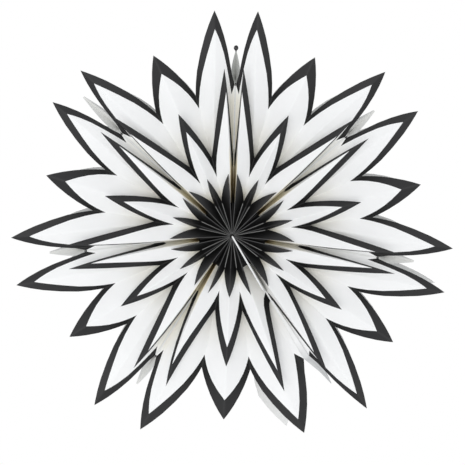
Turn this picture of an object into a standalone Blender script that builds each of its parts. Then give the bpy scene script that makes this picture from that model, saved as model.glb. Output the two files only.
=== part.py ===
"""Hanging paper star, 600 mm across, made of folded units side by side round a hub.

Metres, +Z up, the front towards -Y. The origin is where the hanging ring bears, above the hub.

Every unit is a slice of the ring with three nested sheets on the front and the same three on the
back: a large outer sheet, a middle sheet and a small dark rosette. Each sheet is one folded piece.
Its creases run out from the hub, up over each point of its outline and down through each notch:

    edge - (glue fold) - long crest - notch valley - short crest - notch valley - long crest - edge

Double paper walls stand between the units and end in pointed leaves. Two stiffer end cards close
the ring at one place. Angles are clockwise from straight up, seen from the front.
"""

import math

import bmesh
import bpy

# The ring of units. Hand folding leaves each a little different; the one opposite the hanger
# spreads furthest.
WALL_BEARINGS = tuple(map(math.radians, (0.0, 48.6, 98.8, 149.2, 210.3, 261.5, 310.8)))
UNIT_BEARINGS = tuple(map(math.radians, (23.7, 74.0, 123.0, 181.4, 236.2, 286.4, 335.2)))
TIP_BEARINGS = tuple(map(math.radians, (18.3, 18.8, 18.5, 22.3, 18.9, 18.8, 19.1)))
UNIT_COUNT = len(UNIT_BEARINGS)
WIDE_UNIT = 4
END_CARD_BOUNDARY = 3               # the seam that closes the ring follows this unit

# Paper
PAPER = 0.0004
CLEARANCE = 0.0003                  # between a sheet's edge and the wall that it is glued to
WALL_WAIST = 0.0006                 # thickness of two glued walls at mid depth
WALL_LIP = 0.0009                   # and at their front and back edges
CARD = 0.0006
HUB_SLIT = 0.0004                   # between neighbouring units where they meet at the hub
WALL_START = 0.016                  # radius where walls and end cards begin
WALL_REVEAL = 0.0005                # how far a wall stands above the edge that is glued to it

# Crest heights above the middle plane: each sheet rests a step below the one in front of it
ROSETTE_CREST_HEIGHT = 0.064
MIDDLE_CREST_HEIGHT = ROSETTE_CREST_HEIGHT - 0.009
OUTER_CREST_HEIGHT = MIDDLE_CREST_HEIGHT - 0.018

# Outer sheet: radii of its cut outline
OUTER_START = 0.014
OUTER_LONG_TIP = 0.300
OUTER_SHORT_TIP = 0.263
OUTER_NOTCH = 0.192
OUTER_PAIR_NOTCH = 0.201
# Outer sheet: bearings off the centre line; the long crest's are shares of its tip's bearing
OUTER_NOTCH_BEARING = math.radians(8.2)
OUTER_CREST_BEND = 0.141
OUTER_CREST_INNER_SHARE = 0.71
OUTER_CREST_NOTCH_SHARE = 0.87
GLUE_TAB = 0.0038
SEAM_GLUE_TAB = 0.0080
# Outer sheet: heights against its crest
OUTER_SHOULDER = 0.060
OUTER_HUB_DROP = 0.005
OUTER_HUB_VALLEY_DROP = 0.009
OUTER_LONG_TIP_DROP = 0.001
OUTER_SHORT_TIP_RISE = 0.005
OUTER_VALLEY_DROP = 0.017
OUTER_NOTCH_DROP = 0.013
OUTER_GLUE_VALLEY_DROP = 0.019
OUTER_EDGE_DROP = 0.013

# Middle sheet
MIDDLE_START = 0.014
MIDDLE_SHOULDER = 0.060
MIDDLE_LONG_TIP = 0.222
MIDDLE_SHORT_TIP = 0.179
MIDDLE_NOTCH = 0.107
MIDDLE_NOTCH_BEARING = math.radians(8.6)
MIDDLE_CREST_BEARING = math.radians(21.0)
MIDDLE_TIP_RISE = 0.006
MIDDLE_HUB_VALLEY_DROP = 0.007
MIDDLE_VALLEY_DROP = 0.015
MIDDLE_NOTCH_DROP = 0.016
MIDDLE_FLAP_DEPTH = 0.023
MIDDLE_MIN_FLAP = 0.0010

# Rosette
ROSETTE_START = 0.004
ROSETTE_SHOULDER = 0.014
ROSETTE_TIP = 0.084
ROSETTE_NOTCH = 0.048
ROSETTE_PAIR_NOTCH = 0.054
ROSETTE_NOTCH_BEARING = math.radians(6.3)
ROSETTE_CREST_BEARING = math.radians(20.2)
ROSETTE_MARGIN_SHARE = 0.15         # of the flap, which keeps its length up to the long tip
ROSETTE_TIP_DROP = 0.001
ROSETTE_HUB_VALLEY_DROP = 0.003
ROSETTE_VALLEY_DROP = 0.007
ROSETTE_NOTCH_DROP = 0.012
ROSETTE_FLAP_DEPTH = 0.009
ROSETTE_MIN_FLAP = 0.0004

# In the wide unit all notch valleys share one bearing
WIDE_NOTCH_BEARING = math.radians(10.0)

# Widths of the printed outline along a crease, at the points and in the notches
OUTER_POINT_INK = 0.026
OUTER_NOTCH_INK = 0.018
OUTER_GLUE_INK = 0.013
MIDDLE_POINT_INK = 0.029
MIDDLE_NOTCH_INK = 0.027
MIDDLE_EDGE_INK = 0.014
LEAST_INK = 0.0010

# Leaves at the walls' outer ends
LEAF_TIP = 0.253
HANGER_LEAF_TIP = 0.2435
LEAF_WIDEST = 0.222
LEAF_SPLAY = 0.0050
LEAF_TIP_SPLAY = 0.0016
HANGER_LEAF_TIP_SPLAY = 0.0020
LEAF_WIDEST_HEIGHT = 0.016
LEAF_TIP_HEIGHT = 0.0020
LEAF_GROOVE = 0.0006

# End cards
CARD_SHELF = 0.084                  # radius out to which the cards stand as high as the rosette
CARD_SHELF_DROP = 0.002
CARD_STEP = 0.010

# Hanging ring
RING_RADIUS = 0.0021
RING_WIRE = 0.0012
RING_TURN = math.radians(40.0)
STEM_LENGTH = 0.0024
STEM_RADIUS = 0.0010

WHITE_PAPER = (0.86, 0.86, 0.84, 1.0)
DARK_INK = (0.035, 0.035, 0.037, 1.0)
RING_GREY = (0.42, 0.42, 0.43, 1.0)


def make_material(name, colour, roughness, metallic=0.0):
    material = bpy.data.materials.new(name)
    material.use_nodes = True
    shader = material.node_tree.nodes["Principled BSDF"]
    shader.inputs["Base Color"].default_value = colour
    shader.inputs["Roughness"].default_value = roughness
    shader.inputs["Metallic"].default_value = metallic
    material.diffuse_color = colour
    return material


def along(points, radius):
    """The value at a radius on straight runs through (radius, value) points."""
    for (start, first), (end, last) in zip(points, points[1:]):
        if radius <= end:
            break
    return first + (last - first) * (radius - start) / (end - start)


class Fold:
    """A crease or edge that runs out from the hub.

    bearing(radius) is its angle off the unit's centre line, heights are (radius, height) points,
    end is the radius of the cut outline on it, and ink is where the printed outline starts.
    """

    def __init__(self, bearing, heights, end, ink):
        self.bearing = bearing
        self.heights = heights
        self.end = end
        self.ink = ink


def off_wall(half_span, offset):
    """The bearing of a line whose distance from the unit's wall is offset(radius)."""
    return lambda radius: half_span - math.asin(offset(radius) / radius)


def edge_offset(seat):
    """A sheet's edge lies close to its neighbour at the hub, then clear of the wall's face."""
    points = ((ROSETTE_START, HUB_SLIT / 2), (ROSETTE_SHOULDER, seat), (OUTER_LONG_TIP, seat))
    return lambda radius: along(points, radius)


def outline_meets(inner, outer, bearing):
    """Where the straight-in-polar outline between two folds crosses a line with this bearing."""
    radius = outer.end
    for _ in range(20):
        spread = inner.bearing(radius) - outer.bearing(radius)
        share = (inner.bearing(radius) - bearing(radius)) / spread
        radius = inner.end + (outer.end - inner.end) * share
    return radius


def blend(first, second, share):
    return first + (second - first) * share


class HalfUnit:
    """One side of a unit, from its centre line to the wall beside it."""

    def __init__(self, unit, side):
        boundary = unit if side > 0 else unit - 1
        at_seam = boundary == END_CARD_BOUNDARY
        self.side = side
        self.centre = UNIT_BEARINGS[unit - 1]
        turn = 2 * math.pi * (boundary == UNIT_COUNT)
        self.half_span = abs(WALL_BEARINGS[boundary % UNIT_COUNT] + turn - self.centre)
        self.tip_bearing = TIP_BEARINGS[unit - 1]
        self.wide = unit == WIDE_UNIT
        self.tab = SEAM_GLUE_TAB if at_seam else GLUE_TAB
        # how far from the wall's plane the sheets' edges lie
        self.seat = CLEARANCE / 2 + CARD + CLEARANCE if at_seam else WALL_LIP / 2 + CLEARANCE


def outer_folds(half):
    """The outer sheet's folds from the centre line to one wall, which its tab's back is glued to."""
    top = OUTER_CREST_HEIGHT
    edge = edge_offset(half.seat + PAPER)
    notch_bearing = WIDE_NOTCH_BEARING if half.wide else OUTER_NOTCH_BEARING
    crest_bearing = ((0.0, half.tip_bearing * OUTER_CREST_INNER_SHARE),
                     (OUTER_CREST_BEND, half.tip_bearing * OUTER_CREST_INNER_SHARE),
                     (OUTER_NOTCH, half.tip_bearing * OUTER_CREST_NOTCH_SHARE),
                     (OUTER_LONG_TIP, half.tip_bearing))
    tab = ((0.0, 0.0), (OUTER_SHOULDER, half.tab), (OUTER_LONG_TIP, half.tab))
    short_crest = Fold(lambda radius: 0.0,
                       ((OUTER_START, top - OUTER_HUB_DROP), (OUTER_SHOULDER, top),
                        (OUTER_SHORT_TIP, top + OUTER_SHORT_TIP_RISE)),
                       OUTER_SHORT_TIP, OUTER_SHORT_TIP - OUTER_POINT_INK)
    notch = Fold(lambda radius: notch_bearing,
                 ((OUTER_START, top - OUTER_HUB_VALLEY_DROP), (OUTER_SHOULDER, top - OUTER_VALLEY_DROP),
                  (OUTER_NOTCH, top - OUTER_NOTCH_DROP)),
                 OUTER_NOTCH, OUTER_NOTCH - OUTER_NOTCH_INK)
    long_crest = Fold(lambda radius: along(crest_bearing, radius),
                      ((OUTER_START, top - OUTER_HUB_DROP), (OUTER_CREST_BEND, top),
                       (OUTER_LONG_TIP, top - OUTER_LONG_TIP_DROP)),
                      OUTER_LONG_TIP, OUTER_LONG_TIP - OUTER_POINT_INK)
    glued_edge = Fold(off_wall(half.half_span, edge),
                      ((OUTER_START, top - OUTER_HUB_DROP), (OUTER_SHOULDER, top - OUTER_EDGE_DROP),
                       (OUTER_LONG_TIP, top - OUTER_EDGE_DROP)),
                      OUTER_PAIR_NOTCH, OUTER_PAIR_NOTCH - LEAST_INK)
    glue_bearing = off_wall(half.half_span, lambda radius: edge(radius) + along(tab, radius))
    glue_valley = Fold(glue_bearing,
                       ((OUTER_START, top - OUTER_HUB_VALLEY_DROP),
                        (OUTER_SHOULDER, top - OUTER_GLUE_VALLEY_DROP),
                        (OUTER_LONG_TIP, top - OUTER_GLUE_VALLEY_DROP)),
                       outline_meets(long_crest, glued_edge, glue_bearing),
                       OUTER_PAIR_NOTCH - OUTER_GLUE_INK)
    return [short_crest, notch, long_crest, glue_valley, glued_edge]


def middle_folds(half):
    """The middle sheet's folds: beyond its long crest a steep flap drops to the wall."""
    top = MIDDLE_CREST_HEIGHT
    edge = edge_offset(half.seat)
    nearest = off_wall(half.half_span, lambda radius: edge(radius) + MIDDLE_MIN_FLAP)
    notch_bearing = WIDE_NOTCH_BEARING if half.wide else MIDDLE_NOTCH_BEARING
    short_crest = Fold(lambda radius: 0.0,
                       ((MIDDLE_START, top), (MIDDLE_SHORT_TIP, top + MIDDLE_TIP_RISE)),
                       MIDDLE_SHORT_TIP, MIDDLE_SHORT_TIP - MIDDLE_POINT_INK)
    notch = Fold(lambda radius: notch_bearing,
                 ((MIDDLE_START, top - MIDDLE_HUB_VALLEY_DROP), (MIDDLE_SHOULDER, top - MIDDLE_VALLEY_DROP),
                  (MIDDLE_NOTCH, top - MIDDLE_NOTCH_DROP)),
                 MIDDLE_NOTCH, MIDDLE_NOTCH - MIDDLE_NOTCH_INK)
    long_crest = Fold(lambda radius: min(MIDDLE_CREST_BEARING, nearest(radius)),
                      ((MIDDLE_START, top), (MIDDLE_LONG_TIP, top + MIDDLE_TIP_RISE)),
                      MIDDLE_LONG_TIP, MIDDLE_LONG_TIP - MIDDLE_POINT_INK)
    flap_height = top - MIDDLE_FLAP_DEPTH
    glued_edge = Fold(off_wall(half.half_span, edge),
                      ((MIDDLE_START, flap_height), (MIDDLE_NOTCH, flap_height)),
                      MIDDLE_NOTCH, MIDDLE_NOTCH - MIDDLE_EDGE_INK)
    return [short_crest, notch, long_crest, glued_edge]


def rosette_folds(half):
    """The rosette's folds; past its long crest a shorter flap leaves the long point a straight side."""
    top = ROSETTE_CREST_HEIGHT
    edge = off_wall(half.half_span, edge_offset(half.seat))
    nearest = off_wall(half.half_span, lambda radius: edge_offset(half.seat)(radius) + ROSETTE_MIN_FLAP)
    notch_bearing = WIDE_NOTCH_BEARING if half.wide else ROSETTE_NOTCH_BEARING
    crest_heights = ((ROSETTE_START, top), (ROSETTE_TIP, top - ROSETTE_TIP_DROP))
    valley_heights = ((ROSETTE_START, top - ROSETTE_HUB_VALLEY_DROP),
                      (ROSETTE_SHOULDER, top - ROSETTE_VALLEY_DROP),
                      (ROSETTE_NOTCH, top - ROSETTE_NOTCH_DROP))
    edge_heights = ((ROSETTE_START, top - ROSETTE_HUB_VALLEY_DROP),
                    (ROSETTE_SHOULDER, top - ROSETTE_FLAP_DEPTH),
                    (ROSETTE_PAIR_NOTCH, top - ROSETTE_FLAP_DEPTH))
    short_crest = Fold(lambda radius: 0.0, crest_heights, ROSETTE_TIP, ROSETTE_TIP)
    notch = Fold(lambda radius: notch_bearing, valley_heights, ROSETTE_NOTCH, ROSETTE_NOTCH)
    long_crest = Fold(lambda radius: min(ROSETTE_CREST_BEARING, nearest(radius)),
                      crest_heights, ROSETTE_TIP, ROSETTE_TIP)
    margin_heights = [(radius, blend(along(crest_heights, radius), height, ROSETTE_MARGIN_SHARE))
                      for radius, height in edge_heights]
    margin = Fold(lambda radius: blend(long_crest.bearing(radius), edge(radius), ROSETTE_MARGIN_SHARE),
                  margin_heights, ROSETTE_PAIR_NOTCH, ROSETTE_PAIR_NOTCH)
    glued_edge = Fold(edge, edge_heights, ROSETTE_PAIR_NOTCH, ROSETTE_PAIR_NOTCH)
    return [short_crest, notch, long_crest, margin, glued_edge]


class Tier:
    """One layer of the star: its folds, its rings of points, and whether its rim is printed."""

    def __init__(self, name, folds, rings, steps, printed_rim):
        self.name = name
        self.folds = folds
        self.rings = rings              # radii shared by all folds, from the hub outwards
        self.steps = steps              # strips in each panel between two folds, centre line first
        self.printed_rim = printed_rim


TIERS = (
    Tier("outer", outer_folds, (OUTER_START, OUTER_SHOULDER, OUTER_CREST_BEND), (2, 2, 2, 1), True),
    Tier("middle", middle_folds, (MIDDLE_START, MIDDLE_SHOULDER), (2, 2, 2), True),
    Tier("rosette", rosette_folds, (ROSETTE_START, ROSETTE_SHOULDER), (2, 2, 1, 1), False),
)


def column(tier, first, second, share, half, face):
    """The points up one line of a sheet, a share of the way from one fold to the next."""
    end = blend(first.end, second.end, share)
    ink = blend(first.ink, second.ink, share)
    outer_ring = tier.rings[-1]
    radii = list(tier.rings)
    if tier.name != "outer":
        radii.append(blend(outer_ring, ink, 0.5))
    if tier.printed_rim:
        radii.append(ink)
    radii.append(end)
    points = []
    for radius in radii:
        bearing = blend(first.bearing(radius), second.bearing(radius), share)
        height = blend(along(first.heights, radius), along(second.heights, radius), share)
        angle = half.centre + half.side * bearing
        points.append((radius * math.sin(angle), -face * height, radius * math.cos(angle)))
    return points


def sheet_columns(tier, unit, face):
    """All of a sheet's lines of points, anticlockwise edge first."""
    halves = []
    for side in (-1, 1):
        half = HalfUnit(unit, side)
        folds = tier.folds(half)
        lines = []
        for first, second, steps in zip(folds, folds[1:], tier.steps):
            for step in range(steps):
                lines.append(column(tier, first, second, step / steps, half, face))
        lines.append(column(tier, folds[-2], folds[-1], 1.0, half, face))
        halves.append(lines)
    before, after = halves
    return before[:0:-1] + after


def new_object(name, mesh, materials, collection, hub):
    part = bpy.data.objects.new(name, mesh)
    for material in materials:
        mesh.materials.append(material)
    collection.objects.link(part)
    part.parent = hub
    return part


def build_sheet(tier, unit, face, materials, collection, hub):
    """A folded sheet: an open surface through its lines of points, given its thickness inwards."""
    columns = sheet_columns(tier, unit, face)
    mesh = bpy.data.meshes.new(tier.name)
    shape = bmesh.new()
    grid = [[shape.verts.new(point) for point in line] for line in columns]
    for left, right in zip(grid, grid[1:]):
        last = len(left) - 2
        for row in range(last + 1):
            corners = (left[row], left[row + 1], right[row + 1], right[row])
            panel = shape.faces.new(corners if face < 0 else corners[::-1])
            if tier.printed_rim and row == last:
                panel.material_index = 1
    shape.to_mesh(mesh)
    shape.free()
    side_name = "front" if face > 0 else "back"
    part = new_object(f"{tier.name}_{side_name}_{unit}", mesh, materials, collection, hub)
    solidify = part.modifiers.new("paper", 'SOLIDIFY')
    solidify.thickness = PAPER
    solidify.offset = -1.0
    solidify.material_offset = len(materials) // 2
    return part


def loft(name, sections, materials, collection, hub):
    """A closed solid through like sections, with a flat face on each end."""
    mesh = bpy.data.meshes.new(name)
    shape = bmesh.new()
    rings = [[shape.verts.new(point) for point in section] for section in sections]
    for near, far in zip(rings, rings[1:]):
        for index in range(len(near)):
            after = (index + 1) % len(near)
            shape.faces.new((near[index], near[after], far[after], far[index]))
    shape.faces.new(rings[0][::-1])
    shape.faces.new(rings[-1])
    bmesh.ops.recalc_face_normals(shape, faces=shape.faces)
    shape.to_mesh(mesh)
    shape.free()
    return new_object(name, mesh, materials, collection, hub)


def beside_wall(angle, radius, across, height):
    """A point near a wall: out along it, across it clockwise, and above the middle plane."""
    along_x, along_z = math.sin(angle), math.cos(angle)
    return (radius * along_x + across * along_z, -height, radius * along_z - across * along_x)


def wall_edge_heights():
    """Stations of a wall's front edge: it follows the edges of the sheets that are glued to it."""
    stations = []
    for tier in reversed(TIERS):
        edge = tier.folds(HalfUnit(1, 1))[-1]
        start = stations[-1][0] + CARD_STEP if stations else WALL_START
        for radius in (start, edge.end):
            stations.append((radius, along(edge.heights, radius) + WALL_REVEAL))
    return stations


def build_wall(number, boundary, materials, collection, hub):
    """Two walls glued back to back, whose outer ends splay into a pair of pointed leaves."""
    angle = WALL_BEARINGS[boundary]
    tip, tip_splay = (LEAF_TIP, LEAF_TIP_SPLAY)
    if boundary == 0:
        tip, tip_splay = (HANGER_LEAF_TIP, HANGER_LEAF_TIP_SPLAY)
    stations = [(radius, height, WALL_LIP / 2, height) for radius, height in wall_edge_heights()]
    stations.append((LEAF_WIDEST, LEAF_WIDEST_HEIGHT, LEAF_SPLAY, LEAF_GROOVE))
    stations.append((tip, LEAF_TIP_HEIGHT, tip_splay, LEAF_GROOVE))
    sections = []
    for radius, height, splay, groove in stations:
        profile = ((splay, height), (0.0, groove), (-splay, height), (-WALL_WAIST / 2, 0.0),
                   (-splay, -height), (0.0, -groove), (splay, -height), (WALL_WAIST / 2, 0.0))
        sections.append([beside_wall(angle, radius, across, high) for across, high in profile])
    return loft(f"wall_{number}", sections, materials, collection, hub)


def build_end_card(name, side, materials, collection, hub):
    """A flat stiff card beside the closing seam; it stands proud between the two units."""
    angle = WALL_BEARINGS[END_CARD_BOUNDARY]
    near, far = side * CLEARANCE / 2, side * (CLEARANCE / 2 + CARD)
    outer_edge = OUTER_CREST_HEIGHT - OUTER_EDGE_DROP + WALL_REVEAL
    shelf = ROSETTE_CREST_HEIGHT - CARD_SHELF_DROP
    stations = ((WALL_START, ROSETTE_CREST_HEIGHT), (CARD_SHELF, shelf),
                (CARD_SHELF + CARD_STEP, MIDDLE_CREST_HEIGHT - MIDDLE_FLAP_DEPTH),
                (OUTER_PAIR_NOTCH, outer_edge), (LEAF_WIDEST, LEAF_WIDEST_HEIGHT),
                (LEAF_TIP, LEAF_TIP_HEIGHT))
    sections = []
    for radius, height in stations:
        profile = ((near, height), (far, height), (far, -height), (near, -height))
        sections.append([beside_wall(angle, radius, across, high) for across, high in profile])
    return loft(name, sections, materials, collection, hub)


def build_hanging_ring(materials, collection, hub):
    """A small wire ring on a stem that stands on the top wall's leaves."""
    stem_foot = HANGER_LEAF_TIP + CLEARANCE
    ring_centre = stem_foot + STEM_LENGTH + RING_RADIUS
    bpy.ops.mesh.primitive_torus_add(
        major_radius=RING_RADIUS, minor_radius=RING_WIRE, major_segments=20, minor_segments=8,
        rotation=(math.pi / 2, 0.0, RING_TURN), location=(0.0, 0.0, ring_centre))
    ring = bpy.context.object
    bpy.ops.mesh.primitive_cylinder_add(
        vertices=10, radius=STEM_RADIUS, depth=STEM_LENGTH + RING_WIRE / 2,
        location=(0.0, 0.0, stem_foot + (STEM_LENGTH + RING_WIRE / 2) / 2))
    stem = bpy.context.object
    stem.name = "ring_stem"
    ring.name = "hanging_ring"
    ring.data.materials.append(materials[0])
    ring.data.shade_smooth()
    for part, home in ((ring, collection), (stem, cutters)):
        for owner in part.users_collection:
            owner.objects.unlink(part)
        home.objects.link(part)
        part.parent = hub
    stem.hide_render = True
    stem.display_type = 'WIRE'
    union = ring.modifiers.new("stem", 'BOOLEAN')
    union.operation = 'UNION'
    union.object = stem
    return ring


for leftover in list(bpy.data.objects):
    bpy.data.objects.remove(leftover, do_unlink=True)

star = bpy.data.collections.new("paper_star")
cutters = bpy.data.collections.new("cutters")
bpy.context.scene.collection.children.link(star)
bpy.context.scene.collection.children.link(cutters)

ring_bearing = HANGER_LEAF_TIP + CLEARANCE + STEM_LENGTH + 2 * RING_RADIUS - RING_WIRE
hub_empty = bpy.data.objects.new("hub", None)
hub_empty.location = (0.0, 0.0, -ring_bearing)
star.objects.link(hub_empty)

white = make_material("white star paper", WHITE_PAPER, 0.7)
ink = make_material("printed outline", DARK_INK, 0.6)
plain = make_material("plain inner side", WHITE_PAPER, 0.75)
black = make_material("dark rosette paper", DARK_INK, 0.6)
card_white = make_material("white card", WHITE_PAPER, 0.8)
ring_metal = make_material("ring metal", RING_GREY, 0.35, metallic=1.0)

for current in TIERS:
    finish = (white, ink, plain, plain) if current.printed_rim else (black, plain)
    for face_side in (1, -1):
        for unit_number in range(1, UNIT_COUNT + 1):
            build_sheet(current, unit_number, face_side, finish, star, hub_empty)

wall_boundaries = [place for place in range(UNIT_COUNT) if place != END_CARD_BOUNDARY]
for wall_number, place in enumerate(wall_boundaries, start=1):
    build_wall(wall_number, place, (card_white,), star, hub_empty)
build_end_card("end_card_first", -1, (card_white,), star, hub_empty)
build_end_card("end_card_last", 1, (card_white,), star, hub_empty)
build_hanging_ring((ring_metal,), star, hub_empty)
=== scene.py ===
"""Looks of the hanging paper star: card white folded sheets, printed outlines, dark rosette.

Metres, in the frame's own place: the origin is at the hanging ring, the front faces -Y. Angles are
clockwise from straight up, seen from the front, and heights are above the star's middle plane.
"""

import math

import bmesh
import bpy
from mathutils import Matrix, Vector


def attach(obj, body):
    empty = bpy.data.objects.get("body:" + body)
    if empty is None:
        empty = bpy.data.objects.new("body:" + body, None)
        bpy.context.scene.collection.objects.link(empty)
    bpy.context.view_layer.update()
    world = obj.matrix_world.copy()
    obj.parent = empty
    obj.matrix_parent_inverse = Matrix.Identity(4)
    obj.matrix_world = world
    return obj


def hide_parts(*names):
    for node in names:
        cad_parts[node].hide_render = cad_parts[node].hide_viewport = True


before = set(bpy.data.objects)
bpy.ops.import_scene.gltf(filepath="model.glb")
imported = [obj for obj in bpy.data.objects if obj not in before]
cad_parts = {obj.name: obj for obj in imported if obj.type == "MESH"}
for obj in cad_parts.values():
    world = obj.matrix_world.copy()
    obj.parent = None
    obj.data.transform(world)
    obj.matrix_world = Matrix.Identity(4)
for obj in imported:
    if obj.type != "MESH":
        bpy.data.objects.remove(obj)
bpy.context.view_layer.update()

# The ring of units, as in the folded construction
WALL_BEARINGS = tuple(map(math.radians, (0.0, 48.6, 98.8, 149.2, 210.3, 261.5, 310.8)))
UNIT_BEARINGS = tuple(map(math.radians, (23.7, 74.0, 123.0, 181.4, 236.2, 286.4, 335.2)))
TIP_BEARINGS = tuple(map(math.radians, (18.3, 18.8, 18.5, 22.3, 18.9, 18.8, 19.1)))
UNIT_COUNT = len(UNIT_BEARINGS)
WIDE_UNIT = 4
HANGER_BOUNDARY = 0
END_CARD_BOUNDARY = 3
LONG_LEAF_BOUNDARY = 6              # upper left, where the leaves show further out
WIDE_NOTCH_BEARING = math.radians(10.0)
# how much further out than usual some hand-folded tips reach, by unit and side
LONG_TIP_TRIMS = {(1, -1): 0.0017, (3, 1): 0.005, (4, -1): -0.006, (5, -1): 0.004, (5, 1): 0.0023,
                  (7, 1): 0.0016}
SHORT_TIP_TRIMS = {3: 0.002, 4: -0.006}
# clockwise lean of the points on the back, in degrees, outside the notches
LONG_BACK_LEANS = {(1, 1): 1.2, (2, -1): 1.5, (2, 1): 1.5, (4, -1): 4.6, (5, 1): -1.8, (6, -1): -2.0,
                   (6, 1): -2.0, (7, -1): -1.0}
SHORT_BACK_LEANS = {1: 1.0, 2: 1.5, 4: 1.0, 5: -1.5, 6: -2.0, 7: -1.0}
BACK_LEAN_FULL = 0.250              # the radius from which the whole lean applies
BACK_SHORTENING = 0.007             # the points on the back hide behind those in front
# how far the closing seam stands open on the side of the unit before it, from the hub outwards
SEAM_OPENING = ((0.0, 0.0), (0.094, 0.0), (0.201, 0.006))
PAPER = 0.0004
SEAT, SEAM_SEAT = 0.00075, 0.00105  # how far the sheets' edges lie from a wall's plane
HUB_HEIGHT_BELOW_RING = 0.2492
HUB_RADIUS = 0.0008                 # where the creases of the rosette run together
HUB_CLEAR, WALL_CLEAR = 0.004, 0.014        # where the walls begin, and where the seat is whole
HUB_SEAT = 0.0002                   # how far the edges lie from a wall's plane at the start
SHEET_START, SHOULDER = 0.014, 0.060        # outer and middle sheets: start, and full fold depth
LEAST_INK = 0.0008                  # the printed rim is nowhere narrower

# Outer sheets: radii, bearings, drops below the crest, and how wide the printed rim is along each fold
OUTER_CREST = 0.037
OUTER_LONG_TIP, OUTER_SHORT_TIP = 0.300, 0.263
OUTER_NOTCH, OUTER_PAIR_NOTCH, OUTER_BEND = 0.192, 0.201, 0.141
OUTER_BELLY = 0.246                 # where the long points curve most towards the wall
OUTER_NOTCH_BEARING = math.radians(8.75)
OUTER_CREST_SHARES = (0.71, 0.87, 0.967)    # of the tip's bearing: to the bend, at the notch and the belly
OUTER_HUB_DROP, OUTER_HUB_VALLEY_DROP = 0.005, 0.009
OUTER_VALLEY_DROP, OUTER_NOTCH_DROP = 0.017, 0.013
OUTER_SHORT_TIP_RISE, OUTER_LONG_TIP_DROP = 0.005, 0.001
OUTER_EDGE_DEPTH = 0.010            # how far below the crests the outer sheets meet the walls
GLUE_VALLEY_DROP = 0.002            # below the glued edge
TAB, WIDE_TAB = 0.0038, 0.0080      # from the glue valley to the glued edge
OUTER_LONG_INK, OUTER_SEAM_LONG_INK, OUTER_SHORT_INK = 0.025, 0.021, 0.027
OUTER_NOTCH_INK, OUTER_GLUE_INK, OUTER_OPEN_GLUE_INK, OUTER_EDGE_INK = 0.018, 0.013, 0.006, 0.001

# Middle sheets
MIDDLE_CREST = 0.055
MIDDLE_LONG_TIP, MIDDLE_SHORT_TIP, MIDDLE_NOTCH = 0.225, 0.179, 0.107
MIDDLE_CREST_BEND = 0.085
MIDDLE_NOTCH_BEARING, MIDDLE_TIP_BEARING = math.radians(8.6), math.radians(21.0)
MIDDLE_CREST_OFF_WALL = math.radians(2.6)   # by the hub
MIDDLE_TIP_RISE = 0.006
MIDDLE_HUB_VALLEY_DROP, MIDDLE_VALLEY_DROP, MIDDLE_NOTCH_DROP = 0.007, 0.015, 0.016
MIDDLE_FLAP_DEPTH, MIDDLE_MIN_FLAP = 0.023, 0.0010
MIDDLE_LONG_INK, MIDDLE_SHORT_INK, MIDDLE_NOTCH_INK, MIDDLE_EDGE_INK = 0.031, 0.0265, 0.027, 0.014

# Rosette sheets
ROSETTE_CREST = 0.064
ROSETTE_TIP, ROSETTE_NOTCH, ROSETTE_PAIR_NOTCH = 0.084, 0.048, 0.045
ROSETTE_NOTCH_BEARING, ROSETTE_CREST_BEARING = math.radians(6.3), math.radians(20.2)
ROSETTE_TIP_DROP = 0.001
ROSETTE_HUB_VALLEY_DROP, ROSETTE_VALLEY_DROP, ROSETTE_NOTCH_DROP = 0.003, 0.007, 0.012
ROSETTE_FLAP_DEPTH, ROSETTE_MIN_FLAP = 0.009, 0.0004
ROSETTE_MARGIN_SHARE = 0.15
RIBBON_LIFT = 0.0003                # how far the painted crease highlights and printed joints lie above the paper
# painted crease highlights, by fold: its number, the ribbon's lift, where it ends, its width, and pale (0)
# or dim (1)
CREASE_HIGHLIGHTS = ((1, 0.0010, 0.045, 0.0009, 0), (2, RIBBON_LIFT, 0.050, 0.0008, 1),
                (0, RIBBON_LIFT, 0.044, 0.0006, 1))
CREASE_START, CREASE_STEPS = 0.003, 6

# Walls between the units, and their splayed leaves
GLUE_GAP = 0.00002                  # keeps glued faces from lying in one plane
WALL_LIP = 0.0005                   # between a wall's edge and the sheets' edges beside it
ROSETTE_WALL_END, MIDDLE_WALL_START, WALL_SLOPE = 0.043, 0.054, 0.010
LEAF_START, LEAF_TIP, HANGER_LEAF_TIP, LONG_LEAF_TIP = 0.204, 0.253, 0.2435, 0.272
LEAF_START_SPLAY, LEAF_TIP_SPLAY, LEAF_BELLY = 0.00045, 0.0010, 0.0052
LEAF_TIP_HEIGHT, LEAF_GROOVE, LEAF_WAIST = 0.0020, 0.0006, 0.0003
LEAF_STEPS = 14
JOINT_INSIDE, JOINT_OUTSIDE = 0.0018, 0.0021

# End cards: their ends lean out as one leaf, as (radius, height, across near face, across far face)
CARD_START, CARD_GAP, CARD_LIP = 0.0002, 0.00003, 0.0006
ROSETTE_CARD_END, ROSETTE_CARD_DROP, MIDDLE_CARD_START = 0.084, 0.002, 0.094
FIRST_CARD_LEAF = ((0.2087, 0.021, -0.0070, -0.0136), (0.2304, 0.012, -0.0112, -0.0148),
                   (0.2545, 0.002, -0.0129, -0.0132))
LAST_CARD_LEAF = ((0.2087, 0.021, -0.0068, -0.0010), (0.2304, 0.012, -0.0110, -0.0078),
                  (0.2545, 0.002, -0.0128, -0.0126))

# Hanging ring
RING_RADIUS, RING_WIRE, RING_TURN = 0.0021, 0.0015, math.radians(40.0)
RING_ROUNDS, RING_SIDES = 48, 16
RING_CENTRE, STEM_FOOT = 0.2487, 0.2438     # above the hub
STEM_LENGTH, STEM_RADIUS = 0.0028, 0.0010


def along(points, radius):
    """The value at a radius on straight runs through (radius, value) points."""
    for (start, first), (end, last) in zip(points, points[1:]):
        if radius <= end:
            break
    return first + (last - first) * (radius - start) / (end - start)


def blend(first, second, share):
    return first + (second - first) * share


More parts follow.
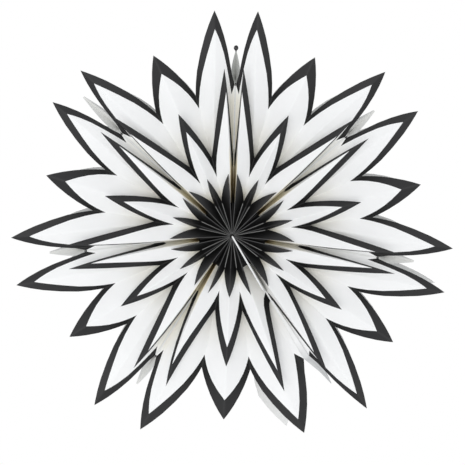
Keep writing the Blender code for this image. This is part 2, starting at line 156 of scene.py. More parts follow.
def ease(value, low, high):
    """0 below low, 1 above high, smooth between them; low may be the larger."""
    share = min(1.0, max(0.0, (value - low) / (high - low)))
    return share * share * (3 - 2 * share)


class Fold:
    """A crease from the hub outwards: its bearing, its heights, its end and where its ink starts."""

    def __init__(self, bearing, heights, end, ink):
        self.bearing = bearing
        self.heights = heights
        self.end = end
        self.ink = ink


class HalfUnit:
    """One side of a unit, from its centre line to the wall beside it."""

    def __init__(self, unit, side):
        self.boundary = unit if side > 0 else unit - 1
        self.at_seam = self.boundary == END_CARD_BOUNDARY
        self.side = side
        self.centre = UNIT_BEARINGS[unit - 1]
        turn = 2 * math.pi * (self.boundary == UNIT_COUNT)
        self.wall = WALL_BEARINGS[self.boundary % UNIT_COUNT]
        self.half_span = abs(self.wall + turn - self.centre)
        self.tip_bearing = TIP_BEARINGS[unit - 1]
        self.wide = unit == WIDE_UNIT
        self.seat = SEAM_SEAT if self.at_seam else SEAT
        self.long_trim = LONG_TIP_TRIMS.get((unit, side), 0.0)
        self.short_trim = SHORT_TIP_TRIMS.get(unit, 0.0)
        self.long_lean = math.radians(LONG_BACK_LEANS.get((unit, side), 0.0))
        self.short_lean = math.radians(SHORT_BACK_LEANS.get(unit, 0.0))


def off_wall(half_span, offset):
    """The bearing of a line whose distance from the unit's wall is offset(radius)."""
    return lambda radius: half_span - math.asin(offset(radius) / radius)


def edge_offset(seat):
    points = ((0.0, 0.0), (HUB_CLEAR, HUB_SEAT), (WALL_CLEAR, seat), (OUTER_LONG_TIP, seat))
    return lambda radius: along(points, radius)


def outline_meets(inner, outer, bearing):
    """Where the outline between two folds crosses a line with this bearing."""
    radius = outer.end
    for _ in range(20):
        spread = inner.bearing(radius) - outer.bearing(radius)
        share = (inner.bearing(radius) - bearing(radius)) / spread
        radius = inner.end + (outer.end - inner.end) * share
    return radius


def outer_folds(half):
    """The outer sheet's folds; past its long crest a valley leads up to a narrow glued tab."""
    top = OUTER_CREST
    closed = edge_offset(half.seat + PAPER)
    opens = half.at_seam and not half.wide
    edge = (lambda radius: closed(radius) + along(SEAM_OPENING, radius)) if opens else closed
    notch_bearing = WIDE_NOTCH_BEARING if half.wide else OUTER_NOTCH_BEARING
    to_bend, at_notch, at_belly = OUTER_CREST_SHARES
    crest = ((0.0, half.tip_bearing * to_bend), (OUTER_BEND, half.tip_bearing * to_bend),
             (OUTER_NOTCH, half.tip_bearing * at_notch), (OUTER_BELLY, half.tip_bearing * at_belly),
             (OUTER_LONG_TIP, half.tip_bearing))
    firm_side = half.at_seam and half.wide
    tab_width = WIDE_TAB if firm_side else TAB
    tab = ((0.0, 0.0), (SHOULDER, tab_width), (OUTER_LONG_TIP, tab_width))
    short_tip = OUTER_SHORT_TIP + half.short_trim
    long_tip = OUTER_LONG_TIP + half.long_trim
    short_crest = Fold(lambda radius: 0.0,
                       ((SHEET_START, top - OUTER_HUB_DROP), (SHOULDER, top),
                        (OUTER_SHORT_TIP, top + OUTER_SHORT_TIP_RISE)),
                       short_tip, short_tip - OUTER_SHORT_INK)
    notch = Fold(lambda radius: notch_bearing,
                 ((SHEET_START, top - OUTER_HUB_VALLEY_DROP), (SHOULDER, top - OUTER_VALLEY_DROP),
                  (OUTER_NOTCH, top - OUTER_NOTCH_DROP)),
                 OUTER_NOTCH, OUTER_NOTCH - OUTER_NOTCH_INK)
    long_crest = Fold(lambda radius: along(crest, radius),
                      ((SHEET_START, top - OUTER_HUB_DROP), (OUTER_BEND, top),
                       (OUTER_LONG_TIP, top - OUTER_LONG_TIP_DROP)),
                      long_tip, long_tip - (OUTER_SEAM_LONG_INK if firm_side else OUTER_LONG_INK))
    valley_ink = OUTER_OPEN_GLUE_INK if opens else OUTER_GLUE_INK
    low = top - OUTER_EDGE_DEPTH
    glued_edge = Fold(off_wall(half.half_span, edge),
                      ((SHEET_START, top - OUTER_HUB_DROP), (SHOULDER, low), (OUTER_LONG_TIP, low)),
                      OUTER_PAIR_NOTCH, OUTER_PAIR_NOTCH - OUTER_EDGE_INK)
    glue_bearing = off_wall(half.half_span, lambda radius: edge(radius) + along(tab, radius))
    glue_valley = Fold(glue_bearing,
                       ((SHEET_START, top - OUTER_HUB_VALLEY_DROP), (SHOULDER, low - GLUE_VALLEY_DROP),
                        (OUTER_LONG_TIP, low - GLUE_VALLEY_DROP)),
                       outline_meets(long_crest, glued_edge, glue_bearing),
                       OUTER_PAIR_NOTCH - valley_ink)
    return [short_crest, notch, long_crest, glue_valley, glued_edge]


def middle_folds(half):
    """The middle sheet's folds; beyond its long crest a steep flap drops to the wall."""
    top = MIDDLE_CREST
    edge = edge_offset(half.seat)
    nearest = off_wall(half.half_span, lambda radius: edge(radius) + MIDDLE_MIN_FLAP)
    notch_bearing = WIDE_NOTCH_BEARING if half.wide else MIDDLE_NOTCH_BEARING
    short_crest = Fold(lambda radius: 0.0,
                       ((SHEET_START, top), (MIDDLE_SHORT_TIP, top + MIDDLE_TIP_RISE)),
                       MIDDLE_SHORT_TIP, MIDDLE_SHORT_TIP - MIDDLE_SHORT_INK)
    notch = Fold(lambda radius: notch_bearing,
                 ((SHEET_START, top - MIDDLE_HUB_VALLEY_DROP), (SHOULDER, top - MIDDLE_VALLEY_DROP),
                  (MIDDLE_NOTCH, top - MIDDLE_NOTCH_DROP)),
                 MIDDLE_NOTCH, MIDDLE_NOTCH - MIDDLE_NOTCH_INK)
    hub_bearing = MIDDLE_TIP_BEARING if half.at_seam else half.half_span - MIDDLE_CREST_OFF_WALL
    crest = ((0.0, hub_bearing), (MIDDLE_CREST_BEND, hub_bearing), (MIDDLE_LONG_TIP, MIDDLE_TIP_BEARING))
    long_crest = Fold(lambda radius: min(along(crest, radius), nearest(radius)),
                      ((SHEET_START, top), (MIDDLE_LONG_TIP, top + MIDDLE_TIP_RISE)),
                      MIDDLE_LONG_TIP, MIDDLE_LONG_TIP - MIDDLE_LONG_INK)
    flap = top - MIDDLE_FLAP_DEPTH
    glued_edge = Fold(off_wall(half.half_span, edge), ((SHEET_START, flap), (MIDDLE_NOTCH, flap)),
                      MIDDLE_NOTCH, MIDDLE_NOTCH - MIDDLE_EDGE_INK)
    return [short_crest, notch, long_crest, glued_edge]


def rosette_folds(half):
    """The rosette's folds; past its long crest a shorter flap leaves the long point a straight side."""
    top = ROSETTE_CREST
    offset = edge_offset(half.seat)
    edge = off_wall(half.half_span, offset)
    nearest = off_wall(half.half_span, lambda radius: offset(radius) + min(0.1 * radius, ROSETTE_MIN_FLAP))
    notch_bearing = WIDE_NOTCH_BEARING if half.wide else ROSETTE_NOTCH_BEARING
    crest = ((HUB_CLEAR, top), (ROSETTE_TIP, top - ROSETTE_TIP_DROP))
    valley = ((0.0, top), (HUB_CLEAR, top - ROSETTE_HUB_VALLEY_DROP),
              (WALL_CLEAR, top - ROSETTE_VALLEY_DROP), (ROSETTE_NOTCH, top - ROSETTE_NOTCH_DROP))
    edge_heights = ((0.0, top), (HUB_CLEAR, top - ROSETTE_HUB_VALLEY_DROP),
                    (WALL_CLEAR, top - ROSETTE_FLAP_DEPTH),
                    (ROSETTE_PAIR_NOTCH, top - ROSETTE_FLAP_DEPTH))
    short_crest = Fold(lambda radius: 0.0, crest, ROSETTE_TIP, ROSETTE_TIP)
    notch = Fold(lambda radius: notch_bearing, valley, ROSETTE_NOTCH, ROSETTE_NOTCH)
    long_crest = Fold(lambda radius: min(ROSETTE_CREST_BEARING, nearest(radius)), crest, ROSETTE_TIP,
                      ROSETTE_TIP)
    margin = Fold(lambda radius: blend(long_crest.bearing(radius), edge(radius), ROSETTE_MARGIN_SHARE),
                  [(radius, blend(top, height, ROSETTE_MARGIN_SHARE)) for radius, height in edge_heights],
                  ROSETTE_PAIR_NOTCH, ROSETTE_PAIR_NOTCH)
    glued_edge = Fold(edge, edge_heights, ROSETTE_PAIR_NOTCH, ROSETTE_PAIR_NOTCH)
    return [short_crest, notch, long_crest, margin, glued_edge]


class Panel:
    """The paper between two folds: shares of the way for its lines, and how its edges curve.

    rim and ink are (amount, lean): how far the cut edge and the printed outline's inner edge curve
    outwards half way, and how much of that curve leans to the second fold.
    """

    def __init__(self, shares, rim, ink, bow):
        self.shares = shares
        self.rim = rim
        self.ink = ink
        self.bow = bow                  # how far the paper bulges to the front half way


class Tier:
    """One layer of the star."""

    def __init__(self, name, folds, rings, panels, printed_rim, deep):
        self.name = name
        self.folds = folds
        self.rings = rings              # radii shared by all folds
        self.panels = panels            # centre line first
        self.printed_rim = printed_rim
        self.deep = deep                # radii at which the ink's painted shade turns from black to charcoal


STRAIGHT = (0.0, 0.0)
WIDE_SHARES = (0.0, 0.06, 0.16, 0.3, 0.5, 0.7, 0.84, 0.94)
NARROW_SHARES = (0.0, 0.1, 0.3, 0.5, 0.7, 0.9)
HALF_SHARES = (0.0, 0.5)
TIERS = (
    Tier("outer", outer_folds, (SHEET_START, 0.035, SHOULDER, 0.100, OUTER_BEND),
         (Panel(WIDE_SHARES, (0.002, 0.0), (0.005, 0.5), 0.0007),
          Panel(WIDE_SHARES, STRAIGHT, (-0.0045, 0.3), 0.0007),
          Panel(WIDE_SHARES, (0.009, 0.2), (0.011, 0.2), 0.0004),
          Panel(HALF_SHARES, STRAIGHT, STRAIGHT, 0.0)),
         True, (0.192, 0.232)),
    Tier("middle", middle_folds, (SHEET_START, 0.037, SHOULDER),
         (Panel(WIDE_SHARES, (-0.001, 0.0), (0.002, 1.0), 0.0005),
          Panel(WIDE_SHARES, (-0.016, 0.0), (-0.011, 1.0), 0.0005),
          Panel(WIDE_SHARES, (-0.030, 0.0), (-0.049, -0.5), 0.0)),
         True, (0.104, 0.136)),
    Tier("rosette", rosette_folds, (HUB_RADIUS, HUB_CLEAR, WALL_CLEAR, 0.030),
         (Panel(NARROW_SHARES, (0.001, 0.0), STRAIGHT, 0.0), Panel(WIDE_SHARES, STRAIGHT, STRAIGHT, 0.0),
          Panel(HALF_SHARES, STRAIGHT, STRAIGHT, 0.0), Panel(NARROW_SHARES, STRAIGHT, STRAIGHT, 0.0)),
         False, (0.046, 0.080)),
)
CLOSING_STEPS = (0.25, 0.5, 0.75, 1.0)      # shares of the way from the last shared ring to the ink


def painted_shade_beside_wall(radius, wall):
    """Painted shade of the paper beside a wall, by how deep it lies: black by the hub, then golden, then
    white past the notch.

    Light reaches in from the sides, so the upper and lower walls look deeper than the level ones.
    """
    side_on = 0.25 + 0.75 * math.cos(wall) ** 2
    golden = side_on * min(0.66, 0.40 + 11.0 * (0.089 - radius)) * ease(radius, 0.116, 0.096)
    return blend(golden, 1.0, ease(radius, 0.064, 0.042))


def painted_shade_of(tier, panel, share, radius, half):
    """Painted shade: how deep in the folds the paper lies, 0 to 1, which warms and darkens its colour in
    place of the shade there.
    """
    # painted shade: the rosette's unprinted inner side is painted as dark as the deepest shade
    if tier.name == "rosette":
        return 1.0
    # painted shade on the middle sheet's flap beside the wall: golden in the slit, black by the hub
    if tier.name == "middle" and panel == 2:
        return painted_shade_beside_wall(radius, half.wall) * (0.15 if half.at_seam else 1.0)
    # painted shade: the rest of the middle sheet warms and darkens by the hub, under the rosette
    if tier.name == "middle":
        return 0.22 * ease(radius, 0.075, 0.045)
    # painted shade: the outer sheet warms a little towards the hub, under the middle sheet
    depth = 0.10 * ease(radius, 0.170, 0.110)
    if panel >= 2 and not half.at_seam:
        # painted shade: the wedges beside the upper and lower walls are painted a little warmer, up to the
        # notch
        nearness = 1.0 if panel == 3 else share * share
        depth += 0.16 * nearness * math.cos(half.wall) ** 2 * ease(radius, 0.200, 0.180)
    return depth


def swell(curve, share):
    amount, lean = curve
    return amount * 4 * share * (1 - share) * (1 + lean * (2 * share - 1))


def place_at(angle, radius, across, height):
    """A point by its bearing: out along it, across it clockwise, and above the middle plane."""
    return (radius * math.sin(angle) + across * math.cos(angle), -height,
            radius * math.cos(angle) - across * math.sin(angle) - HUB_HEIGHT_BELOW_RING)


def column(tier, folds, number, share, half, face):
    """Points up one line of a sheet, each with how deep it lies, which paints the paper's shade, and the
    painted shade of its ink.
    """
    first, second = folds[number], folds[number + 1]
    panel = tier.panels[number]
    rim_swell, ink_swell = swell(panel.rim, share), swell(panel.ink, share)
    if half.at_seam and tier.name == "middle":
        ink_swell *= 0.75
    if half.at_seam and tier.name == "outer" and number == 2:
        firmness = 0.4 if half.wide else 0.8
        rim_swell, ink_swell = rim_swell * firmness, ink_swell * firmness
    lean = shorter = 0.0
    if face < 0 and tier.name == "outer":
        lean = half.short_lean if number == 0 else half.long_lean
        shorter = BACK_SHORTENING
        if half.at_seam and half.wide:
            shorter *= 1.0 - share if number == 0 else 0.0
    end = blend(first.end, second.end, share) + rim_swell - shorter
    ink_start = min(blend(first.ink, second.ink, share) + ink_swell - shorter, end - LEAST_INK)
    if not tier.printed_rim:
        ink_start = end
    radii = list(tier.rings)
    for step in CLOSING_STEPS:
        radii.append(blend(tier.rings[-1], ink_start, step))
    if tier.printed_rim:
        radii += [blend(ink_start, end, 0.5), end]
    points = []
    for radius in radii:
        bearing = blend(first.bearing(radius), second.bearing(radius), share)
        height = blend(along(first.heights, radius), along(second.heights, radius), share)
        height += panel.bow * 4 * share * (1 - share) * min(1.0, radius / SHOULDER)
        angle = half.centre + half.side * bearing + lean * ease(radius, OUTER_NOTCH, BACK_LEAN_FULL)
        # painted shade of the ink: black deep by the hub, charcoal further out
        reach = ease(radius, *tier.deep)
        if tier.name == "rosette":
            # the golden light beside the walls also falls on the petals' edges next to them
            nearness = (0.0, share ** 4, 1.0, 1.0)[number]
            glow = 0.75 * nearness * ease(radius, 0.040, 0.058) * ease(radius, 0.084, 0.066)
            reach = blend(0.8 * reach, 1.0, glow * (not half.at_seam))
        points.append((place_at(angle, radius, 0.0, face * height),
                       painted_shade_of(tier, number, share, radius, half), reach))
    return points


def sheet_columns(tier, unit, face):
    """Lines of points from one edge to the other."""
    halves = []
    for side in (-1, 1):
        half = HalfUnit(unit, side)
        folds = tier.folds(half)
        lines = []
        for number, panel in enumerate(tier.panels):
            for share in panel.shares:
                lines.append(column(tier, folds, number, share, half, face))
        lines.append(column(tier, folds, len(tier.panels) - 1, 1.0, half, face))
        halves.append(lines)
    before, after = halves
    return before[:0:-1] + after


def sheet_name(tier_name, unit, face):
    return f"{tier_name}_{'front' if face > 0 else 'back'}_{unit}"


def finish_piece(shape, name, node, materials, tones=()):
    """Makes an object of the built mesh, with its tones kept per point, in place of its solid."""
    mesh = bpy.data.meshes.new(name)
    shape.to_mesh(mesh)
    shape.free()
    for tone, values in tones:
        mesh.attributes.new(tone, 'FLOAT', 'POINT').data.foreach_set("value", values)
    piece = bpy.data.objects.new(name, mesh)
    bpy.context.scene.collection.objects.link(piece)
    for material in materials:
        mesh.materials.append(material)
    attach(piece, "root")
    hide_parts(node)
    return piece


def build_sheet(tier, unit, face, materials):
    """One folded sheet, with its thickness on the inner side."""
    node = sheet_name(tier.name, unit, face)
    columns = sheet_columns(tier, unit, face)
    shape = bmesh.new()
    grid = [[shape.verts.new(place) for place, _, _ in line] for line in columns]
    painted_shades = [depth for line in columns for _, depth, _ in line]
    ink_shades = [reach for line in columns for _, _, reach in line]
    band_rows = 2 if tier.printed_rim else 0
    for left, right in zip(grid, grid[1:]):
        rows = len(left) - 1
        for row in range(rows):
            corners = (left[row], left[row + 1], right[row + 1], right[row])
            panel = shape.faces.new(corners if face < 0 else corners[::-1])
            panel.smooth = True
            if row >= rows - band_rows:
                panel.material_index = 1
    for edge in shape.edges:
        if edge.is_boundary:
            edge.smooth = False
    piece = finish_piece(shape, node + "_paper", node, materials,
                         (("depth", painted_shades), ("reach", ink_shades)))
    thickness = piece.modifiers.new("paper", 'SOLIDIFY')
    thickness.thickness = PAPER
    thickness.offset = -1.0
    thickness.material_offset = len(materials) // 2


def ribbon(shape, bearing, heights, stations, width, face, index):
    """A hair line that lies along a fold or an edge: a painted crease highlight, or a printed joint."""
    rails = []
    for radius in stations:
        for across in (-width / 2, width / 2):
            rails.append(shape.verts.new(place_at(bearing(radius), radius, across, face * heights(radius))))
    for place in range(0, len(rails) - 2, 2):
        corners = (rails[place], rails[place + 1], rails[place + 3], rails[place + 2])
        strip = shape.faces.new(corners if face > 0 else corners[::-1])
        strip.material_index = index


def build_crease_highlights(unit, face, materials):
    """Painted highlights along the rosette's creases: pale along the valleys, dim along the crests."""
    node = sheet_name("rosette", unit, face)
    shape = bmesh.new()
    for side in (-1, 1):
        half = HalfUnit(unit, side)
        folds = rosette_folds(half)
        for number, lift, end, width, index in CREASE_HIGHLIGHTS:
            fold = folds[number]
            if number == 0 and side > 0:
                continue
            ribbon(shape, lambda radius: half.centre + half.side * fold.bearing(radius),
                   lambda radius: along(fold.heights, radius) + lift,
                   [blend(CREASE_START, end, step / CREASE_STEPS) for step in range(CREASE_STEPS + 1)],
                   width, face, index)
    finish_piece(shape, node + "_creases", node, materials)


def loft(sections):
    """A closed surface through like rings of points."""
    shape = bmesh.new()
    rings = [[shape.verts.new(point) for point in section] for section in sections]
    for near, far in zip(rings, rings[1:]):
        for index in range(len(near)):
            after = (index + 1) % len(near)
            shape.faces.new((near[index], near[after], far[after], far[index]))
    shape.faces.new(rings[0][::-1])
    shape.faces.new(rings[-1])
    bmesh.ops.recalc_face_normals(shape, faces=shape.faces)
    return shape


def curve_between(points, steps):
    """Each straight run through the points cut into a number of steps."""
    out = []
    for (start, *first), (end, *last) in zip(points, points[1:]):
        for step in range(steps):
            share = step / steps
            out.append((blend(start, end, share), *(blend(a, b, share) for a, b in zip(first, last))))
    out.append(points[-1])
    return out


def leaf_outline(tip):
    """The splayed leaf outside the glued part: (radius, height, splay, groove, waist)."""
    stations = []
    for step in range(1, LEAF_STEPS + 1):
        share = step / LEAF_STEPS
        belly = max(0.0, math.sin(math.pi * share ** 0.6))
        splay = blend(LEAF_START_SPLAY, LEAF_TIP_SPLAY, share) + LEAF_BELLY * belly
        height = blend(OUTER_CREST - OUTER_EDGE_DEPTH, LEAF_TIP_HEIGHT, share ** 0.8)
        stations.append((blend(LEAF_START, tip, share), height, splay, LEAF_GROOVE, LEAF_WAIST))
    return stations


def build_wall(number, boundary):
    """Two walls glued back to back, whose outer ends splay into a pair of pointed leaves."""
    angle = WALL_BEARINGS[boundary]
    tip = {HANGER_BOUNDARY: HANGER_LEAF_TIP, LONG_LEAF_BOUNDARY: LONG_LEAF_TIP}.get(boundary, LEAF_TIP)
    rosette_edge = ROSETTE_CREST - ROSETTE_FLAP_DEPTH - WALL_LIP
    middle_edge = MIDDLE_CREST - MIDDLE_FLAP_DEPTH - WALL_LIP
    outer_edge = OUTER_CREST - OUTER_EDGE_DEPTH + WALL_LIP
    stations = curve_between(((HUB_CLEAR, rosette_edge), (ROSETTE_WALL_END, rosette_edge),
                              (MIDDLE_WALL_START, middle_edge), (MIDDLE_NOTCH, middle_edge),
                              (MIDDLE_NOTCH + WALL_SLOPE, outer_edge), (OUTER_PAIR_NOTCH, outer_edge)), 3)
    # glued to the sheets' edges on both sides, so that no light comes through beside the wall
    glued = SEAT - GLUE_GAP
    stations = [(radius, height, glued, height, glued) for radius, height in stations]
    stations += leaf_outline(tip)
    sections, painted_shades = [], []
    for radius, height, splay, groove, waist in stations:
        profile = ((splay, height), (0.0, groove), (-splay, height), (-waist, 0.0),
                   (-splay, -height), (0.0, -groove), (splay, -height), (waist, 0.0))
        sections.append([place_at(angle, radius, across, high) for across, high in profile])
        # painted shade on the walls: golden in the slits and black by the hub
        painted_shades += [painted_shade_beside_wall(radius, angle)] * len(profile)
    paper = shaded_hanger_paper if boundary == HANGER_BOUNDARY else leaf_paper
    finish_piece(loft(sections), f"wall_{number}_leaves", f"wall_{number}", (paper,),
                 (("depth", painted_shades),))
    # the printed outlines of both units meet across the wall's edge at the notch
    joint = bmesh.new()
    for face in (1, -1):
        ribbon(joint, lambda radius: angle, lambda radius: outer_edge + RIBBON_LIFT,
               (OUTER_PAIR_NOTCH - JOINT_INSIDE, OUTER_PAIR_NOTCH + JOINT_OUTSIDE), 2 * SEAT, face, 0)
    finish_piece(joint, f"wall_{number}_outline_joint", f"wall_{number}", (outline,))


def build_end_card(node, side):
    """A stiff card beside the closing seam; its cut edge shows white from the hub outwards.

    Outside the notch the ends of both cards lean out of the open seam as one pale pointed leaf.
    """
    angle = WALL_BEARINGS[END_CARD_BOUNDARY]
    near, glued = side * CARD_GAP, side * (SEAM_SEAT - GLUE_GAP)
    if side < 0:
        opened, leaf = glued - SEAM_OPENING[-1][1], FIRST_CARD_LEAF
    else:
        opened, leaf = glued, LAST_CARD_LEAF
    stations = curve_between(((CARD_START, ROSETTE_CREST + CARD_LIP, near, glued),
                              (ROSETTE_CARD_END, ROSETTE_CREST - ROSETTE_CARD_DROP, near, glued),
                              (MIDDLE_CARD_START, MIDDLE_CREST - MIDDLE_FLAP_DEPTH, near, glued),
                              (OUTER_PAIR_NOTCH, OUTER_CREST - OUTER_EDGE_DEPTH + WALL_LIP, near, opened),
                              *leaf), 4)
    sections, painted_shades = [], []
    for radius, height, near, far in stations:
        profile = ((near, height), (far, height), (far, -height), (near, -height))
        sections.append([place_at(angle, radius, across, high) for across, high in profile])
        # painted shade: a little darker deeper between the sheets, and in the shade of the open seam at its
        # end
        depth = 0.12 * ease(radius, 0.100, 0.084) + 0.3 * ease(radius, 0.190, 0.206)
        painted_shades += [depth] * len(profile)
    finish_piece(loft(sections), node + "_board", node, (card,), (("depth", painted_shades),))


def build_ring():
    """A turned wire ring on a short stem."""
    centre = Vector((0.0, 0.0, -HUB_HEIGHT_BELOW_RING + RING_CENTRE))
    shape = bmesh.new()
    turn = Matrix.Rotation(RING_TURN, 3, "Z")
    loops = []
    for step in range(RING_ROUNDS):
        around = 2 * math.pi * step / RING_ROUNDS
        loop = []
        for part in range(RING_SIDES):
            about = 2 * math.pi * part / RING_SIDES
            reach = RING_RADIUS + RING_WIRE * math.cos(about)
            flat = Vector((reach * math.sin(around), RING_WIRE * math.sin(about), reach * math.cos(around)))
            loop.append(shape.verts.new(centre + turn @ flat))
        loops.append(loop)
    for loop, following in zip(loops, loops[1:] + loops[:1]):
        for part in range(RING_SIDES):
            after = (part + 1) % RING_SIDES
            shape.faces.new((loop[part], loop[after], following[after], following[part])).smooth = True
    stem_middle = STEM_FOOT - HUB_HEIGHT_BELOW_RING + STEM_LENGTH / 2
    bmesh.ops.create_cone(shape, cap_ends=True, segments=20, radius1=STEM_RADIUS, radius2=STEM_RADIUS,
                          depth=STEM_LENGTH, matrix=Matrix.Translation((0.0, 0.0, stem_middle)))
    bmesh.ops.recalc_face_normals(shape, faces=shape.faces)
    finish_piece(shape, "hanging_ring_wire", "hanging_ring", (steel,))


def srgb(code):
    """A hex colour as linear numbers, with full opacity."""
    channels = [int(code[place:place + 2], 16) / 255 for place in (1, 3, 5)]
    linear = [c / 12.92 if c <= 0.04045 else ((c + 0.055) / 1.055) ** 2.4 for c in channels]
    return (*linear, 1.0)


def add(tree, kind, settings=(), inputs=(), links=()):
    """Adds a node with its settings, its fixed inputs, and links from (node, output) to inputs."""
    node = tree.nodes.new(kind)
    for name, value in dict(settings).items():
        setattr(node, name, value)
    for name, value in dict(inputs).items():
        node.inputs[name].default_value = value
    for name, (source, output) in dict(links).items():
        tree.links.new(source.outputs[output], node.inputs[name])
    return node


CLOUDS_PER_METRE = 30.0             # cloudy patches some 33 mm across, as in pulped paper


def grained(name, ramp, tone, mottle, roughness, grain, relief, through=0.0):
    """A colour that follows a tone of the mesh, with a fine grain; made for paper, print and wire.

    ramp holds (tone, hex) stops. mottle is how much the grain and the cloudy sheet darken it, grain and
    relief are the length and height of a fibre, and through is how much light soaks into the sheet.
    """
    material = bpy.data.materials.new(name)
    material.use_nodes = True
    tree = material.node_tree
    shader = tree.nodes["Principled BSDF"]
    shader.inputs["Roughness"].default_value = roughness
    shader.inputs["Specular IOR Level"].default_value = 0.3
    shader.inputs["Subsurface Weight"].default_value = through
    shader.inputs["Subsurface Radius"].default_value = (1.0, 1.0, 1.0)
    shader.inputs["Subsurface Scale"].default_value = 0.001     # a little more than the sheet's thickness
    place = add(tree, "ShaderNodeTexCoord")
    fibres = add(tree, "ShaderNodeTexNoise", inputs={"Scale": 1 / grain, "Detail": 4.0, "Roughness": 0.6},
                 links={"Vector": (place, "Object")})
    clouds = add(tree, "ShaderNodeTexNoise", inputs={"Scale": CLOUDS_PER_METRE, "Detail": 2.0},
                 links={"Vector": (place, "Object")})
    both = add(tree, "ShaderNodeMath", settings={"operation": 'MULTIPLY'},
               links={0: (fibres, "Fac"), 1: (clouds, "Fac")})
    shade = add(tree, "ShaderNodeMapRange",
                inputs={"From Min": 0.12, "From Max": 0.4, "To Min": 1.0 - mottle, "To Max": 1.0},
                links={"Value": (both, "Value")})
    follow = add(tree, "ShaderNodeAttribute", settings={"attribute_name": tone})
    colour = add(tree, "ShaderNodeValToRGB", links={"Fac": (follow, "Fac")})
    stops = colour.color_ramp.elements
    while len(stops) < len(ramp):
        stops.new(0.5)
    for stop, (position, code) in zip(stops, ramp):
        stop.position = position
        stop.color = srgb(code)
    shaded = add(tree, "ShaderNodeVectorMath", settings={"operation": 'SCALE'},
                 links={0: (colour, "Color"), "Scale": (shade, "Result")})
    tree.links.new(shaded.outputs["Vector"], shader.inputs["Base Color"])
    bump = add(tree, "ShaderNodeBump", inputs={"Strength": 0.25, "Distance": relief},
               links={"Height": (fibres, "Fac")})
    tree.links.new(bump.outputs["Normal"], shader.inputs["Normal"])
    return material


def even(code):
    """The ramp of a material that has one colour."""
    return ((0.0, code), (1.0, code))


# Painted shade: open paper is a cool white; deeper in the folds its colour is painted cream, then golden
# brown, then black, in place of the shade there
PAINTED_SHADE_RAMP = ((0.0, "#F9F9F8"), (0.3, "#E2DABF"), (0.6, "#8A764C"), (0.85, "#2E2618"), (1.0, "#0C0A08"))
SHADE = "#0C0A08"
# Bright matt paper, thin enough to glow a little beside its folds; its colour carries the painted shade of
# its depth tone
white = grained("uncoated white star paper", PAINTED_SHADE_RAMP, "depth", 0.03, 0.62, 0.0009, 0.00005, through=0.3)
# A soft charcoal band with a hint of the fibres, painted nearly black towards the hub for the shade deep in
# the folds
outline = grained("offset printed outline", ((0.0, "#060606"), (1.0, "#242425")), "reach", 0.12, 0.55,
                  0.0012, 0.00004)
# The inner side, painted greyer for the shade behind the front sheets and darker still by its depth tone;
# seen only edge-on and through the gaps
plain = grained("unprinted inner side", ((0.0, "#E6E6E4"), (1.0, SHADE)), "depth", 0.02, 0.7, 0.0009,
                0.00005, through=0.3)
# The near black centre with painted shade: its petals are painted black by the hub and lighten to charcoal
# outwards, with a painted golden glint of light beside the walls
dark = grained("dark printed rosette paper", ((0.0, "#070707"), (0.8, "#333334"), (1.0, "#75664A")),
               "reach", 0.15, 0.5, 0.0012, 0.00004)
# The walls: dull paper with painted shade, golden in the slits and pale in the leaves between the points
leaf_paper = grained("unprinted wall paper", ((0.0, "#F0F0EE"), *PAINTED_SHADE_RAMP[1:]), "depth", 0.05, 0.7,
                     0.0009, 0.00005)
# The leaf that carries the ring, painted grey for the shade it lies in, darker than the other leaves
shaded_hanger_paper = grained("handled grey wall paper", ((0.0, "#D2D3D0"), *PAINTED_SHADE_RAMP[1:]), "depth", 0.06, 0.7,
                       0.0009, 0.00005)
# A hard white line where the star closes, a cooler grey where its end lies in the shade
card = grained("white end card", ((0.0, "#F9F9F8"), (0.3, "#CFD0D0"), (1.0, SHADE)), "depth", 0.03, 0.7,
               0.0012, 0.00008)
# Painted highlights along the rosette's folds: pale and dim grey lines where light catches the dark print
pale_crease_highlight = grained("worn pale crease", even("#8E8E8C"), "reach", 0.3, 0.6, 0.0012, 0.00004)
dim_crease_highlight = grained("worn dim crease", even("#4A4A4A"), "reach", 0.3, 0.6, 0.0012, 0.00004)
# A dull grey wire with fine brush marks
steel = grained("brushed steel ring", even("#48484A"), "reach", 0.2, 0.42, 0.0006, 0.00002)
steel.node_tree.nodes["Principled BSDF"].inputs["Metallic"].default_value = 1.0

for tier in TIERS:
    finish = (white, outline, plain, plain) if tier.printed_rim else (dark, plain)
    for face in (1, -1):
        for unit in range(1, UNIT_COUNT + 1):
            build_sheet(tier, unit, face, finish)
for face in (1, -1):
    for unit in range(1, UNIT_COUNT + 1):
        build_crease_highlights(unit, face, (pale_crease_highlight, dim_crease_highlight))
wall_boundaries = [boundary for boundary in range(UNIT_COUNT) if boundary != END_CARD_BOUNDARY]
for number, boundary in enumerate(wall_boundaries, start=1):
    build_wall(number, boundary)
build_end_card("end_card_first", -1)
build_end_card("end_card_last", 1)
build_ring()

# Camera: a little above the star, and turned a little, with the hub just off the picture's centre
VIEW_WIDTH = 0.63775
CAMERA_DISTANCE = 3.0
CAMERA_ELEVATION = math.radians(8.07)
CAMERA_ROLL = math.radians(1.2)
SENSOR_WIDTH = 36.0
PICTURE_SIZE = 465
hub = Vector((0.0, 0.0, -HUB_HEIGHT_BELOW_RING))
camera_data = bpy.data.cameras.new("camera")
camera_data.sensor_width = SENSOR_WIDTH
camera_data.lens = SENSOR_WIDTH * CAMERA_DISTANCE / VIEW_WIDTH
camera_data.shift_x = 0.22 / PICTURE_SIZE
camera_data.shift_y = -2.96 / PICTURE_SIZE
camera = bpy.data.objects.new("camera", camera_data)
bpy.context.scene.collection.objects.link(camera)
back = Vector((0.0, -math.cos(CAMERA_ELEVATION), math.sin(CAMERA_ELEVATION)))
turn = (-back).to_track_quat("-Z", "Y").to_matrix().to_4x4() @ Matrix.Rotation(CAMERA_ROLL, 4, "Z")
camera.matrix_world = Matrix.Translation(hub + back * CAMERA_DISTANCE) @ turn
bpy.context.scene.camera = camera

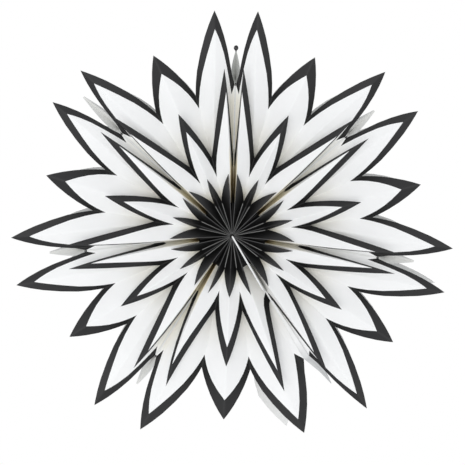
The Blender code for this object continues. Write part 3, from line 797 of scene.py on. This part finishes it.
# Light: an even studio with a large soft lamp at the front, which reaches into the folds
world = bpy.data.worlds.new("studio")
bpy.context.scene.world = world
world.use_nodes = True
sky = world.node_tree
background = sky.nodes["Background"]
background.inputs["Color"].default_value = srgb("#F7F9FC")
background.inputs["Strength"].default_value = 0.72
clear = add(sky, "ShaderNodeBackground", inputs={"Color": (1, 1, 1, 1), "Strength": 1.0})
seen = add(sky, "ShaderNodeLightPath")
glossy = add(sky, "ShaderNodeMath", settings={"operation": 'MAXIMUM'},
             links={0: (seen, "Is Camera Ray"), 1: (seen, "Is Glossy Ray")})
direct = add(sky, "ShaderNodeMath", settings={"operation": 'MAXIMUM'},
             links={0: (glossy, 0), 1: (seen, "Is Transmission Ray")})
choose = add(sky, "ShaderNodeMixShader", links={0: (direct, 0), 1: (background, 0), 2: (clear, 0)})
sky.links.new(choose.outputs[0], sky.nodes["World Output"].inputs["Surface"])

lamp_data = bpy.data.lights.new("key", 'AREA')
lamp_data.shape = 'DISK'
lamp_data.size = 1.5
lamp_data.energy = 28.0
lamp = bpy.data.objects.new("key", lamp_data)
bpy.context.scene.collection.objects.link(lamp)
lamp.location = hub + Vector((-0.4, -2.7, -0.1))
lamp.rotation_euler = (hub - lamp.location).to_track_quat("-Z", "Y").to_euler()

# A pale floor below the hanging star, where its soft shadow falls; the white behind it is the world's
FLOOR_SIZE, FLOOR_BELOW_HUB = 1.2, 1.2
floor_shape = bmesh.new()
bmesh.ops.create_grid(floor_shape, x_segments=1, y_segments=1, size=FLOOR_SIZE)
floor_mesh = bpy.data.meshes.new("floor")
floor_shape.to_mesh(floor_mesh)
floor_shape.free()
floor = bpy.data.objects.new("floor", floor_mesh)
floor.location = hub + Vector((0.0, 0.0, -FLOOR_BELOW_HUB))
bpy.context.scene.collection.objects.link(floor)
pale = bpy.data.materials.new("pale studio floor")
pale.use_nodes = True
matte = pale.node_tree.nodes["Principled BSDF"]
matte.inputs["Base Color"].default_value = srgb("#F4F4F4")
matte.inputs["Roughness"].default_value = 0.9
floor_mesh.materials.append(pale)

bpy.context.scene.view_settings.view_transform = 'Standard'
